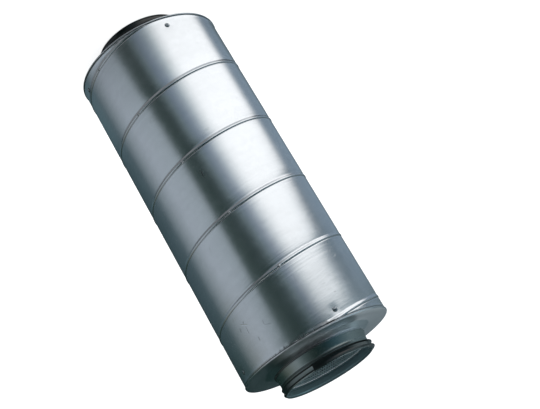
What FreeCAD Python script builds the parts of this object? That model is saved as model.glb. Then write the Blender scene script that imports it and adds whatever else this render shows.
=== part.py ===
import FreeCAD, Part
import math
import os

os.makedirs("parts", exist_ok=True)

# Round duct silencer for a 160 mm duct, standing on its lower spigot.
# Millimetres. +Z runs along the airway, and the origin is the centre of the lower mouth's edge.
# A height called out is measured outwards from a cap's face, so it serves both ends.

# Casing: a strip wound into a tube, with its lock seam standing proud outside
casing_diameter = 260.0
casing_length = 600.0
casing_sheet = 0.6
seam_pitch = 120.5
seam_height = 1.2
seam_flat = 3.2
seam_soft_side = 1.8
seam_sharp_side = 0.2
seam_start_angle = -69.8
seam_start_height = 9.7

# End caps: a skirt inside the casing, a folded hem over its edge, a flat face and a drawn neck
cap_sheet = 0.9
skirt_depth = 28.0
hem_overhang = 1.5
hem_gap = 1.0
skirt_inner_bend = 0.05
neck_width = 13.8
neck_start_bend = 8.0
neck_end_bend = 3.0
neck_height = 9.0
collar_height = 3.0

# Spigots: a tail welded inside the cap's collar, a taper, a bead, a seat for the seal and the mouth
spigot_diameter = 159.2
spigot_sheet = 0.7
spigot_length = 41.0
spigot_base_swell = 2.0
spigot_tail = 2.0
taper_bend = 6.0
straight_under_bead = 3.3
bead_height = 0.5
bead_width = 2.4
bead_to_seat = 2.3
seat_depth = 0.8
seat_width = 8.2
seat_to_mouth = 4.2
mouth_swell = 0.2
small_bend = 0.6

# Lip seals: a foot in the seat, a band outside and two lips swept back from the mouth
lip_reach = 4.2
lip_difference = 0.9
lip_sweep = 1.5
lip_tip = 0.7
lip_root = 1.3
lip_to_foot = 1.6
seal_band = 1.0
seal_to_mouth = 1.2

# Inner tube, its fleece and the wool
inner_tube_sheet = 0.6
inner_tube_to_seat = 2.8
fleece_thickness = 0.5
wool_joint = 1.0

# Casing rivets, evenly spaced from one that stands clear of the seam, each with its mandrel's stub
rivets_per_end = 4
lower_rivet_past_seam = 25.4
upper_rivet_past_seam = 39.6
rivet_to_skirt_edge = 11.8
rivet_shank_radius = 2.0
rivet_head_radius = 3.9
rivet_head_height = 1.3
rivet_blind_radius = 2.9
rivet_blind_length = 2.2
mandrel_radius = 1.1
mandrel_head_radius = 1.9
mandrel_head_length = 1.2
mandrel_recess = 0.6

# Clearances
sheet_fit = 0.1
tube_fit = 0.3
hole_fit = 0.1
mandrel_fit = 0.05
wool_fit = 0.3

casing_radius = casing_diameter / 2
casing_inside = casing_radius - casing_sheet
hem_height = 2 * cap_sheet + hem_gap
cap_to_cap = casing_length + 2 * hem_height
lower_face = spigot_length
upper_face = lower_face + cap_to_cap
casing_bottom = lower_face + hem_height
seam_zero = casing_bottom + seam_start_height
spigot_radius = spigot_diameter / 2
inner_tube_radius = spigot_radius - spigot_sheet - tube_fit
rivet_hole_radius = rivet_shank_radius + hole_fit
skirt_inside = casing_inside - sheet_fit - cap_sheet
rivet_to_cap_face = hem_height + skirt_depth - rivet_to_skirt_edge
seat_top = spigot_length - seat_to_mouth
seat_bottom = seat_top - seat_width
up = FreeCAD.Vector(0, 0, 1)


def offset_line(points, distance):
    """Points of a bent line moved sideways by a distance, to its left when it is positive."""
    moved = []
    last = len(points) - 1
    for index, (r, z) in enumerate(points):
        before = points[max(index - 1, 0)]
        here = points[index]
        after = points[min(index + 1, last)]
        into = direction(before, here) if index > 0 else direction(here, after)
        onward = direction(here, after) if index < last else into
        normal = (-into[1] - onward[1], into[0] + onward[0])
        share = distance * 2 / (normal[0] ** 2 + normal[1] ** 2)
        moved.append((r + normal[0] * share, z + normal[1] * share))
    return moved


def direction(start, end):
    """Unit vector between two points."""
    length = math.dist(start, end)
    return ((end[0] - start[0]) / length, (end[1] - start[1]) / length)


def on_section(point):
    """A (radius, height) pair as a point of the XZ plane."""
    return FreeCAD.Vector(point[0], 0, point[1])


def bent_edges(points, bends):
    """Edges of a line through the points, each inner corner rounded to its own bend radius."""
    edges = []
    start = points[0]
    for index in range(1, len(points) - 1):
        corner = points[index]
        into = direction(points[index - 1], corner)
        onward = direction(corner, points[index + 1])
        turn = math.acos(max(-1, min(1, into[0] * onward[0] + into[1] * onward[1])))
        tangent = bends[index - 1] * math.tan(turn / 2)
        if tangent < 1e-6:
            edges.append(line(start, corner))
            start = corner
            continue
        first = (corner[0] - into[0] * tangent, corner[1] - into[1] * tangent)
        second = (corner[0] + onward[0] * tangent, corner[1] + onward[1] * tangent)
        towards = direction(corner, ((first[0] + second[0]) / 2, (first[1] + second[1]) / 2))
        depth = bends[index - 1] * (1 / math.cos(turn / 2) - 1)
        crown = (corner[0] + towards[0] * depth, corner[1] + towards[1] * depth)
        if math.dist(start, first) > 1e-6:
            edges.append(line(start, first))
        edges.append(Part.Arc(on_section(first), on_section(crown), on_section(second)).toShape())
        start = second
    edges.append(line(start, points[-1]))
    return edges


def line(start, end):
    """A straight edge of a section."""
    return Part.LineSegment(on_section(start), on_section(end)).toShape()


def turned(edges):
    """The closed section swept once round the airway's axis."""
    face = Part.Face(Part.Wire(Part.__sortEdges__(edges)))
    solid = face.revolve(FreeCAD.Vector(0, 0, 0), up, 360)
    return solid.Solids[0] if solid.Solids else Part.makeSolid(solid)


def turned_polygon(points):
    """A solid of revolution with a straight-sided section."""
    return turned([line(a, b) for a, b in zip(points, points[1:] + points[:1])])


def turned_sheet(points, bends, sheet):
    """Bent sheet of even thickness round the line of its middle, swept round the axis."""
    left = []
    right = []
    for index, bend in enumerate(bends, start=1):
        into = direction(points[index - 1], points[index])
        onward = direction(points[index], points[index + 1])
        side = math.copysign(sheet / 2, into[0] * onward[1] - into[1] * onward[0])
        left.append(bend - side)
        right.append(bend + side)
    left_points = offset_line(points, sheet / 2)
    right_points = offset_line(points, -sheet / 2)
    edges = bent_edges(left_points, left) + bent_edges(right_points, right)
    edges.append(line(left_points[0], right_points[0]))
    edges.append(line(left_points[-1], right_points[-1]))
    return turned(edges)


def at_upper_end(solid):
    """Moves a solid built outwards from a cap's face to the upper end."""
    return solid.translated(FreeCAD.Vector(0, 0, upper_face))


def at_lower_end(solid):
    """The same solid at the lower end, mirrored so that it points down."""
    return solid.mirror(FreeCAD.Vector(0, 0, 0), up).translated(FreeCAD.Vector(0, 0, lower_face))


def ring(outside, inside, bottom, height):
    """A plain tube round the axis."""
    base = FreeCAD.Vector(0, 0, bottom)
    return Part.makeCylinder(outside, height, base).cut(Part.makeCylinder(inside, height, base))


def rivet_places():
    """Name, angle in degrees and height of each casing rivet."""
    places = []
    ends = (
        ("lower", lower_face + rivet_to_cap_face, lower_rivet_past_seam),
        ("upper", upper_face - rivet_to_cap_face, upper_rivet_past_seam),
    )
    for end, height, past_seam in ends:
        seam_angle = seam_start_angle + (height - seam_zero) / seam_pitch * 360
        for number in range(rivets_per_end):
            angle = seam_angle + past_seam + number * 360 / rivets_per_end
            places.append((end, number + 1, angle, height))
    return places


def placed_radially(solid, angle, height):
    """Lays a solid built along +Z on a radius of the casing."""
    solid = solid.copy()
    solid.rotate(FreeCAD.Vector(0, 0, 0), FreeCAD.Vector(0, 1, 0), 90)
    solid.translate(FreeCAD.Vector(0, 0, height))
    solid.rotate(FreeCAD.Vector(0, 0, 0), up, angle)
    return solid


def rivet_holes(depth_from, depth_to):
    """The eight drillings between two radii."""
    drill = Part.makeCylinder(rivet_hole_radius, depth_to - depth_from, up * depth_from)
    return [placed_radially(drill, angle, height) for _, _, angle, height in rivet_places()]


def make_seam():
    """The lock seam's ridge: soft on its lower side, sharp on its upper side."""
    root = casing_radius - casing_sheet / 2
    crest = casing_radius + seam_height
    half = seam_flat / 2
    corners = [
        (root, -half - seam_soft_side),
        (crest, -half),
        (crest, half),
        (root, half + seam_sharp_side),
    ]
    section = Part.makePolygon([on_section(point) for point in corners + corners[:1]])
    turns = math.ceil(casing_length / seam_pitch) + 2
    helix = Part.makeHelix(seam_pitch, seam_pitch * turns, casing_radius)
    ridge = Part.Wire(helix.Edges).makePipeShell([section], True, True)
    ridge = ridge.Solids[0] if ridge.Solids else Part.makeSolid(ridge)
    ridge.rotate(FreeCAD.Vector(0, 0, 0), up, seam_start_angle)
    ridge.translate(FreeCAD.Vector(0, 0, seam_zero - seam_pitch))
    inside = casing_radius - casing_sheet
    outside = casing_radius + 2 * seam_height
    return ridge.common(ring(outside, inside, casing_bottom, casing_length))


def make_casing():
    """The wound tube with its seam and rivet holes."""
    tube = ring(casing_radius, casing_inside, casing_bottom, casing_length)
    casing = tube.fuse(make_seam())
    for hole in rivet_holes(casing_inside - 1, casing_radius + 1):
        casing = casing.cut(hole)
    return casing.Solids[0]


def neck_points():
    """Middle line of the cap's drawn neck, from its face to the top of its collar."""
    face_line = -cap_sheet / 2
    collar = spigot_radius + spigot_base_swell + sheet_fit + cap_sheet / 2
    return [
        (collar + neck_width, face_line),
        (collar, neck_height - collar_height),
        (collar, neck_height),
    ]


def make_cap():
    """A pressed end cap, built outwards from its face."""
    skirt = casing_inside - sheet_fit - cap_sheet / 2
    hem = casing_radius + hem_overhang - cap_sheet / 2
    hem_under = cap_sheet / 2 - hem_height
    hem_over = -cap_sheet / 2
    fold = (hem_over - hem_under) / 2
    points = [
        (skirt, -hem_height - skirt_depth),
        (skirt, hem_under),
        (hem, hem_under),
        (hem, hem_over),
    ] + neck_points()
    skirt_bend = skirt_inner_bend + cap_sheet / 2
    bends = [skirt_bend, fold, fold, neck_start_bend, neck_end_bend]
    return turned_sheet(points, bends, cap_sheet)


def make_drilled_cap(place):
    """A cap at one end, with the rivet holes in its skirt."""
    cap = place(make_cap())
    for hole in rivet_holes(skirt_inside - 1, casing_inside):
        cap = cap.cut(hole)
    return cap.Solids[0]


def seat_points():
    """Middle line of the spigot's sheet from below the seal's seat to the mouth."""
    wall = spigot_radius - spigot_sheet / 2
    return [
        (wall, seat_bottom - seat_depth),
        (wall - seat_depth, seat_bottom),
        (wall - seat_depth, seat_top),
        (wall + mouth_swell, seat_top + seat_depth + mouth_swell),
        (wall + mouth_swell, spigot_length),
    ]


def make_spigot():
    """A connecting collar, built outwards from the cap's face."""
    wall = spigot_radius - spigot_sheet / 2
    base = wall + spigot_base_swell
    bead = seat_bottom - seat_depth - bead_to_seat
    bead_foot = bead - bead_width / 2
    points = [
        (base, -spigot_tail),
        (base, neck_height),
        (wall, bead_foot - straight_under_bead),
        (wall, bead_foot),
        (wall + bead_height, bead),
        (wall, bead + bead_width / 2),
    ] + seat_points()
    bends = 2 * [taper_bend] + 7 * [small_bend]
    return turned_sheet(points, bends, spigot_sheet)


def make_seal():
    """A double-lip seal, built outwards from the cap's face."""
    _, seat_low, seat_high, rim_low, _ = offset_line(seat_points(), -spigot_sheet / 2 - sheet_fit)
    foot = seat_low[1] + sheet_fit
    top = spigot_length - seal_to_mouth
    band = rim_low[0] + seal_band
    outer_tip = spigot_radius + lip_reach + lip_difference
    inner_tip = spigot_radius + lip_reach
    outer_root = top - lip_root
    inner_root = foot + lip_to_foot
    return turned_polygon([
        (seat_low[0], foot),
        seat_high,
        rim_low,
        (rim_low[0], top),
        (band, top),
        (outer_tip, top - lip_sweep),
        (outer_tip, top - lip_sweep - lip_tip),
        (band, outer_root),
        (band, inner_root + lip_root),
        (inner_tip, inner_root + lip_root - lip_sweep),
        (inner_tip, inner_root + lip_root - lip_sweep - lip_tip),
        (band, inner_root),
        (band, foot),
    ])


def make_inner_tube():
    """The airway's tube, reaching into both spigots."""
    reach = seat_bottom - seat_depth - inner_tube_to_seat
    bottom = lower_face - reach
    height = cap_to_cap + 2 * reach
    return ring(inner_tube_radius, inner_tube_radius - inner_tube_sheet, bottom, height)


def make_fleece():
    """The lining wrapped round the inner tube."""
    inside = inner_tube_radius + sheet_fit
    return ring(inside + fleece_thickness, inside, casing_bottom, casing_length)


def make_wool():
    """The wrapped mat, pressed in at both ends by the skirts and rivets, with its butt joint."""
    inside = inner_tube_radius + 2 * sheet_fit + fleece_thickness
    full = casing_inside - wool_fit
    pressed = skirt_inside - sheet_fit - rivet_blind_length - mandrel_head_length - wool_fit
    step = full - pressed
    bottom = casing_bottom
    top = bottom + casing_length
    clear = hem_height + skirt_depth + wool_fit
    mat = turned_polygon([
        (inside, bottom),
        (pressed, bottom),
        (pressed, lower_face + clear),
        (full, lower_face + clear + step),
        (full, upper_face - clear - step),
        (pressed, upper_face - clear),
        (pressed, top),
        (inside, top),
    ])
    corner = FreeCAD.Vector(0, -wool_joint / 2, bottom)
    slit = Part.makeBox(casing_radius, wool_joint, casing_length, corner)
    return mat.cut(slit).Solids[0]


def make_rivet():
    """A set blind rivet along +Z: domed head outside, swollen end inside."""
    blind_top = skirt_inside - sheet_fit
    blind_end = blind_top - rivet_blind_length
    bore = mandrel_radius + mandrel_fit
    dome_top = casing_radius + rivet_head_height
    crown_radius = (rivet_head_radius ** 2 + rivet_head_height ** 2) / (2 * rivet_head_height)
    centre = dome_top - crown_radius
    hole_edge = (bore, centre + math.sqrt(crown_radius ** 2 - bore ** 2))
    halfway = (rivet_head_radius + bore) / 2
    dome_point = (halfway, centre + math.sqrt(crown_radius ** 2 - halfway ** 2))
    edge = (rivet_head_radius, casing_radius)
    dome = Part.Arc(on_section(hole_edge), on_section(dome_point), on_section(edge)).toShape()
    corners = [
        edge,
        (rivet_shank_radius, casing_radius),
        (rivet_shank_radius, blind_top),
        (rivet_blind_radius, blind_top),
        (rivet_blind_radius, blind_end),
        (bore, blind_end),
        hole_edge,
    ]
    return turned([dome] + [line(a, b) for a, b in zip(corners, corners[1:])])


def make_mandrel():
    """The mandrel's stub and head, left inside the rivet."""
    blind_end = skirt_inside - sheet_fit - rivet_blind_length
    stub_top = casing_radius + rivet_head_height - mandrel_recess
    head = Part.makeCylinder(mandrel_head_radius, mandrel_head_length, up * (blind_end - mandrel_head_length))
    stub = Part.makeCylinder(mandrel_radius, stub_top - blind_end, up * blind_end)
    return head.fuse(stub).Solids[0]


nodes = {
    "outer_casing": make_casing(),
    "upper_end_cap": make_drilled_cap(at_upper_end),
    "lower_end_cap": make_drilled_cap(at_lower_end),
    "upper_spigot": at_upper_end(make_spigot()),
    "lower_spigot": at_lower_end(make_spigot()),
    "upper_lip_seal": at_upper_end(make_seal()),
    "lower_lip_seal": at_lower_end(make_seal()),
    "perforated_tube": make_inner_tube(),
    "fleece_lining": make_fleece(),
    "wool_mat": make_wool(),
}
for end, number, angle, height in rivet_places():
    nodes[f"{end}_rivet_{number}"] = placed_radially(make_rivet(), angle, height)
    nodes[f"{end}_rivet_mandrel_{number}"] = placed_radially(make_mandrel(), angle, height)

for name, shape in nodes.items():
    shape.exportStep(f"parts/{name}.step")
    print(name, shape.isValid(), round(shape.Volume, 1))
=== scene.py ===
import math

import bmesh
import bpy
import numpy as np
from mathutils import Matrix, Vector, noise


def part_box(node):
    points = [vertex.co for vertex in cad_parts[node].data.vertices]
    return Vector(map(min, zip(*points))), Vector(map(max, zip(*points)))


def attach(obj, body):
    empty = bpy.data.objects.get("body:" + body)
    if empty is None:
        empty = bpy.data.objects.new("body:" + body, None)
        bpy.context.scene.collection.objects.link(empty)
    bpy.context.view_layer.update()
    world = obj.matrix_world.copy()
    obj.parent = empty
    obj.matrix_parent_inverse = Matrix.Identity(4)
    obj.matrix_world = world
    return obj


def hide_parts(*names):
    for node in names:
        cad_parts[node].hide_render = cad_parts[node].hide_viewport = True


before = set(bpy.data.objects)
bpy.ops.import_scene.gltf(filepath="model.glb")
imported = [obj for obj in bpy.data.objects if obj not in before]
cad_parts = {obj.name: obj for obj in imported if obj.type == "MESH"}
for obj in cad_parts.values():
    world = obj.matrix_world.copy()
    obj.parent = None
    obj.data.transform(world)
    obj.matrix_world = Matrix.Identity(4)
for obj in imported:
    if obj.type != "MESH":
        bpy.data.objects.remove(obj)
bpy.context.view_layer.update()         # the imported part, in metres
mm = 0.001
fullTurn = 2 * math.pi
inDegrees = 180 / math.pi
weldDistance = 1e-6       # points nearer than this are one point
slack = 1e-5              # and lengths under this are none
fade = 0.1 * mm           # over this one finish gives way to the next
bendStep = 15             # degrees of a bend to each facet
print("frame loaded:", len(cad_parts), "nodes")

# Where things are, read from the frame
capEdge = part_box("upper_end_cap")[1]
casingLow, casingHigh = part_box("outer_casing")
tubeLow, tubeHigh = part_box("perforated_tube")


# Modelling helpers

def pick(piece):
    # this piece alone is selected
    bpy.ops.object.select_all(action="DESELECT")
    piece.select_set(True)
    bpy.context.view_layer.objects.active = piece


def startEdit():
    bpy.ops.object.mode_set(mode="EDIT")


def endEdit():
    bpy.ops.object.mode_set(mode="OBJECT")


def selectAll():
    bpy.ops.mesh.select_all(action="SELECT")


def closeUp():
    # one skin: near points are joined, and the faces point outwards
    selectAll()
    bpy.ops.mesh.remove_doubles(threshold=weldDistance)
    bpy.ops.mesh.normals_make_consistent(inside=False)


def addShape(name, maker, **settings):
    # one of Blender's own shapes, with its place and turn worked into the mesh
    bpy.ops.object.select_all(action="DESELECT")
    maker(**settings)
    bpy.ops.object.transform_apply(location=True, rotation=True, scale=True)
    shape = bpy.context.object
    shape.name = name
    shape.data.name = name
    return shape


def startPiece(name, place):
    # one loose point, ready to be drawn out
    piece = addShape(name, bpy.ops.mesh.primitive_circle_add, vertices=3, radius=mm, location=place)
    startEdit()
    bpy.ops.mesh.select_mode(type="VERT")
    selectAll()
    bpy.ops.mesh.merge(type="CENTER")
    return piece


def choose(piece, kind, test):
    # selects the points or faces whose middle passes the test
    bpy.ops.mesh.select_all(action="DESELECT")
    bpy.ops.mesh.select_mode(type=kind)
    shape = bmesh.from_edit_mesh(piece.data)
    if kind == "VERT":
        for point in shape.verts:
            point.select = test(point.co)
    else:
        for face in shape.faces:
            face.select = test(face.calc_center_median())
    shape.select_flush_mode()
    bmesh.update_edit_mesh(piece.data)


def drawSection(name, points, bends=None):
    # a line of points in the XZ plane, with its inner corners rounded to their bend radii
    points = [Vector((r, 0, z)) for r, z in points]
    piece = startPiece(name, points[0])
    for before, after in zip(points, points[1:]):
        bpy.ops.mesh.extrude_vertices_move(TRANSFORM_OT_translate={"value": after - before})
    for index, bend in enumerate(bends or [], start=1):
        into = points[index] - points[index - 1]
        onward = points[index + 1] - points[index]
        reach = bend * math.tan(into.angle(onward) / 2)
        if reach < slack:
            continue
        segments = max(2, math.ceil(math.degrees(into.angle(onward)) / bendStep))
        choose(piece, "VERT", lambda place: (place - points[index]).length < weldDistance)
        bpy.ops.mesh.bevel(offset=reach, offset_type="OFFSET", segments=segments, affect="VERTICES")
    return piece


def spinSection(piece, steps):
    # sweeps the drawn section once round the airway's axis
    selectAll()
    bpy.ops.mesh.spin(steps=steps, angle=fullTurn, center=(0, 0, 0), axis=(0, 0, 1))
    closeUp()
    endEdit()


def closeSection():
    # joins the last drawn point to the first
    selectAll()
    bpy.ops.mesh.edge_face_add()
    bpy.ops.mesh.delete(type="ONLY_FACE")


def applyModifier(piece, name, kind, **settings):
    pick(piece)
    made = piece.modifiers.new(name, kind)
    for setting, value in settings.items():
        setattr(made, setting, value)
    bpy.ops.object.modifier_apply(modifier=name)


def smooth(piece, sharpAngle=35):
    pick(piece)
    bpy.ops.object.shade_smooth_by_angle(angle=math.radians(sharpAngle))


def dress(piece, finish, slot, *nodes):
    # a finished piece takes its material and stands for its CAD nodes
    piece.data.materials.clear()
    piece.data.materials.append(finish)
    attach(piece, "root")
    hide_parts(*nodes)


def turnAtBothEnds(title, look, finish, node):
    # bent sheet of even thickness round the middle line that is drawn, once at each end of the part
    for end in ends:
        piece = drawSection(end + title, sectionAtEnd(look["section"], end), look["bends"])
        spinSection(piece, look["steps"])
        applyModifier(piece, "wall", "SOLIDIFY", thickness=look["sheet"], offset=0, use_even_offset=True)
        smooth(piece)
        dress(piece, finish, "galvanised_steel", f"{end}_{node}")


def readPoints(piece):
    places = np.empty(len(piece.data.vertices) * 3)
    piece.data.vertices.foreach_get("co", places)
    return places.reshape(-1, 3)


def writePoints(piece, places):
    piece.data.vertices.foreach_set("co", places.ravel())
    piece.data.update()


def soften(value):
    # 0 to 1 with a gentle start and stop
    value = np.clip(value, 0, 1)
    return value * value * (3 - 2 * value)


def sectionAtEnd(points, end):
    # a section written outwards from a cap's face, in millimetres, moved to one end of the part
    face, way = ends[end]
    return [(r * mm, face + way * s * mm) for r, s in points]


# Materials: a value is one socket, and arithmetic on values adds the Math nodes

class Value:
    def __init__(self, finish, socket):
        self.finish = finish
        self.socket = socket

    def maths(self, operation, *values):
        return self.finish.add("ShaderNodeMath", {"operation": operation}, dict(enumerate(values)))

    def output(self, name):
        return Value(self.finish, self.socket.node.outputs[name])

    def __add__(self, other):
        return self.maths("ADD", self, other)

    def __radd__(self, other):
        return self.maths("ADD", other, self)

    def __sub__(self, other):
        return self.maths("SUBTRACT", self, other)

    def __rsub__(self, other):
        return self.maths("SUBTRACT", other, self)

    def __mul__(self, other):
        return self.maths("MULTIPLY", self, other)

    def __rmul__(self, other):
        return self.maths("MULTIPLY", other, self)

    def __truediv__(self, other):
        return self.maths("DIVIDE", self, other)

    def step(self, low, high):
        # 0 below low, 1 above high, smooth between; it falls where low is the larger
        inputs = {0: self, 1: low, 2: high, 3: 0.0, 4: 1.0}
        if low > high:
            inputs = {0: self, 1: high, 2: low, 3: 1.0, 4: 0.0}
        return self.finish.add("ShaderNodeMapRange", {"interpolation_type": "SMOOTHSTEP"}, inputs)

    def lowest(self, other):
        return self.maths("MINIMUM", self, other)

    def highest(self, other):
        return self.maths("MAXIMUM", self, other)

    def over(self, *pairs):
        # 1 where all steps are done, each a pair of where it is 0 and where it is 1
        return math.prod(self.step(none, full) for none, full in pairs)

    def diagonal(self, other):
        return (self * self + other * other).power(0.5)

    def fraction(self):
        return self.maths("FRACT", self)

    def power(self, other):
        return self.maths("POWER", self, other)

    def size(self):
        return self.maths("ABSOLUTE", self)


class Finish:
    def __init__(self, owner):
        # the owner is a new material, or the world
        owner.use_nodes = True
        self.owner = owner
        self.tree = owner.node_tree
        self.tree.nodes.clear()

    def add(self, kind, settings=None, inputs=None, output=0):
        # any node: its settings first, then the values or links of its sockets
        node = self.tree.nodes.new(kind)
        for setting, value in (settings or {}).items():
            if setting == "stops":
                self.setStops(node.color_ramp, value)
            else:
                setattr(node, setting, value)
        for place, value in (inputs or {}).items():
            if isinstance(value, Value):
                self.tree.links.new(value.socket, node.inputs[place])
            else:
                node.inputs[place].default_value = value
        return Value(self, node.outputs[output]) if node.outputs else None

    def setStops(self, ramp, stops):
        while len(ramp.elements) < len(stops):
            ramp.elements.new(0.5)
        for element, (place, colour) in zip(ramp.elements, stops):
            element.position = place
            element.color = (*colour, 1)

    def place(self):
        return self.add("ShaderNodeTexCoord").output("Object")

    def noise(self, place, scale=1.0, detail=3.0, roughness=0.5):
        # from 0 to 1
        inputs = {"Vector": place, "Scale": scale, "Detail": detail, "Roughness": roughness}
        return self.add("ShaderNodeTexNoise", None, inputs)

    def uneven(self, *values, **named):
        # noise that goes as far under 0 as over it
        return self.noise(*values, **named) - 0.5

    def stretch(self, place, scale, turn=(0, 0, 0)):
        # the pattern's own coordinates, scaled and turned
        inputs = {"Vector": place, "Scale": scale, "Rotation": tuple(math.radians(a) for a in turn)}
        return self.add("ShaderNodeMapping", None, inputs)

    def blend(self, share, first, second, way="MIX"):
        inputs = {0: share, 6: first, 7: second}
        return self.add("ShaderNodeMix", {"data_type": "RGBA", "blend_type": way}, inputs, 2)

    def tint(self, colour, shade):
        # a colour made lighter or darker by a value round 1
        grey = self.add("ShaderNodeCombineColor", None, {0: shade, 1: shade, 2: shade})
        return self.blend(1.0, colour, grey, "MULTIPLY")

    def plus(self, first, second):
        return self.blend(1.0, first, second, "ADD")

    def surface(self, base, roughness, height, metallic=0.0):
        # the finished material; the height of its relief is in metres
        relief = self.add("ShaderNodeBump", None, {"Strength": 1.0, "Distance": 1.0, "Height": height})
        inputs = {"Base Color": base, "Metallic": metallic, "Roughness": roughness, "Normal": relief}
        return self.close(self.add("ShaderNodeBsdfPrincipled", None, inputs))

    def close(self, shader, target="ShaderNodeOutputMaterial"):
        self.add(target, None, {"Surface": shader})
        return self.owner


def newFinish(name):
    return Finish(bpy.data.materials.new(name))


def fromAxis(finish, place):
    # distance from the airway's axis, the degrees round it and the height
    xyz = finish.add("ShaderNodeSeparateXYZ", None, {0: place})
    across, along = xyz.output("X"), xyz.output("Y")
    return across.diagonal(along), along.maths("ARCTAN2", along, across) * inDegrees, xyz.output("Z")


# Galvanised sheet: pale zinc with faint spangles, rolling lines and smudges

sheetLook = {
    "colour": (0.70, 0.725, 0.75, 1),
    "roughness": 0.22,
    "spangleSize": 9 * mm,
    "spangleShade": 0.035,      # how much one grain differs from the next
    "spangleRough": 0.01,
    "lineRough": 0.05,          # rolling lines
    "lineDepth": 0.005 * mm,
    "broader": 5,               # there are broad ones too, so many times as wide
    "broadShade": 0.08,
    "broadDepth": 0.02 * mm,
    "smudgeSize": 60 * mm,      # handling smudges
    "smudgeShade": 0.12,
    "smudgeRough": 0.07,
    "smudgeDepth": 0.009 * mm,
    "cloudSize": 200 * mm,      # slow changes of the gloss
    "cloudRough": 0.06,
    # one dark colour, and more roughness, for both dirt and painted shade
    "grimeAndShadeColour": (0.03, 0.035, 0.036, 1),
    "grimeAndShadeRough": 0.2,
}


def galvanised(name, grain, uvMap=None, marks=None, colour=sheetLook["colour"], extraRoughness=0.0,
               inner=None, cut=None):
    # grain is how fine the rolling lines are along each axis, in lines a metre; marks gives
    # how much dirt and painted shade darken a place, how deep its rolling lines are, and what stands out or
    # in there;
    # inner is the radius under which the sheet is painted darker and duller as shade, its colour there and
    # how metallic it is;
    # cut is two heights and the plain colour painted outside them as a highlight on the cut edges
    look = sheetLook
    finish = newFinish(name)
    place = finish.place()
    flat = finish.add("ShaderNodeUVMap", {"uv_map": uvMap}) if uvMap else place
    cells = {"Vector": place, "Scale": 1 / look["spangleSize"]}
    spangle = finish.add("ShaderNodeTexVoronoi", None, cells, "Color")
    spangle = finish.add("ShaderNodeSeparateColor", None, {0: spangle}) - 0.5
    broadGrain = [value / look["broader"] for value in grain]
    lines = finish.uneven(finish.stretch(flat, grain), roughness=0.6)
    broad = finish.uneven(finish.stretch(flat, broadGrain), detail=2.0)
    smudge = finish.uneven(place, 1 / look["smudgeSize"], detail=4.0, roughness=0.6)
    cloud = finish.uneven(place, 1 / look["cloudSize"], detail=2.0)
    shade = 1 + spangle * look["spangleShade"] + smudge * look["smudgeShade"] + broad * look["broadShade"]
    rough = look["roughness"] + extraRoughness + lines * look["lineRough"] + spangle * look["spangleRough"]
    rough = rough + smudge * look["smudgeRough"] + cloud * look["cloudRough"]
    base = finish.tint(colour, shade)
    lineGain, dent = 1.0, 0.0
    if marks:
        # dirt and painted shade both darken towards the same colour
        darkening, lineGain, dent = marks(finish, place, flat)
        rough = rough + darkening * look["grimeAndShadeRough"]
        base = finish.blend(darkening, base, look["grimeAndShadeColour"])
    height = (broad * look["broadDepth"] + lines * look["lineDepth"]) * lineGain
    height = height + smudge * look["smudgeDepth"] + dent
    metallic = 1.0
    if inner or cut:
        away, angle, level = fromAxis(finish, place)
    if inner:
        # the inside is painted darker and duller, as shade
        radius, innerColour, innerMetallic = inner
        within = away.step(radius + fade / 2, radius)
        base = finish.blend(within, base, finish.tint(innerColour, shade))
        metallic = 1 - within * (1 - innerMetallic)
    if cut:
        # the cut edges are painted plain and bright, as a highlight
        low, high, cutHighlight = cut
        outside = level.step(low, low - fade).highest(level.step(high, high + fade))
        base = finish.blend(outside, base, cutHighlight)
        metallic = metallic - outside * metallic
    return finish.surface(base, rough, height, metallic)


# End caps: a skirt in the casing, a hem over its edge, a flat face and a drawn neck

cap = {
    "sheet": 0.9 * mm,
    "hem": 1.5 * mm,            # how far it stands out from the casing
    "neckHeight": 9 * mm,
    "section": [(128.85, -30.8), (128.85, -2.35), (131.05, -2.35), (131.05, -0.75), (119, -0.45),
                (95.95, -0.45), (82.12, 6.0), (82.25, 9.0)],     # middle of the sheet, mm from the face
    "bends": [0.5 * mm, 0.15 * mm, 1.35 * mm, 300 * mm, 8 * mm, 0.9 * mm],
    "extraRoughness": 0.08,
    "grain": (9, 240, 9),
    "lineGain": 0.6,
    # sides of a piece are written as pairs: degrees where an effect is none, and where it is full
    "bowFrom": 112 * mm,        # the face falls away from here, on the side of the seam's end
    "bowTo": 129.5 * mm,
    "bow": 2.3,                 # per metre
    "bowSide": ((-170, -152), (-84, -98)),
    "jointFrom": 83.2 * mm,     # painted shade in the joint between the collar and the spigot
    "jointTo": 82.9 * mm,
    "jointShade": 0.8,
    "jointSide": (-128, -88),
    "steps": 320,
}
ends = {
    "upper": (capEdge.z - cap["neckHeight"], 1),
    "lower": (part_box("lower_end_cap")[0].z + cap["neckHeight"], -1),
}


def capMarks(finish, place, flat):
    away, angle, height = fromAxis(finish, place)
    # painted shade in the collar's joint, on one side only
    joint = away.step(cap["jointFrom"], cap["jointTo"]) * angle.over(cap["jointSide"])
    bow = (away.lowest(cap["bowTo"]) - cap["bowFrom"]).highest(0.0).power(2.0) * -cap["bow"]
    return joint * cap["jointShade"], cap["lineGain"], bow * angle.over(*cap["bowSide"])


capFinish = galvanised("galvanised cap", cap["grain"], marks=capMarks, extraRoughness=cap["extraRoughness"])
turnAtBothEnds("EndCap", cap, capFinish, "end_cap")
print("end caps made")

# Spigots: a tail in the cap's collar, a taper, a bead, the seal's seat and the mouth

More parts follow.
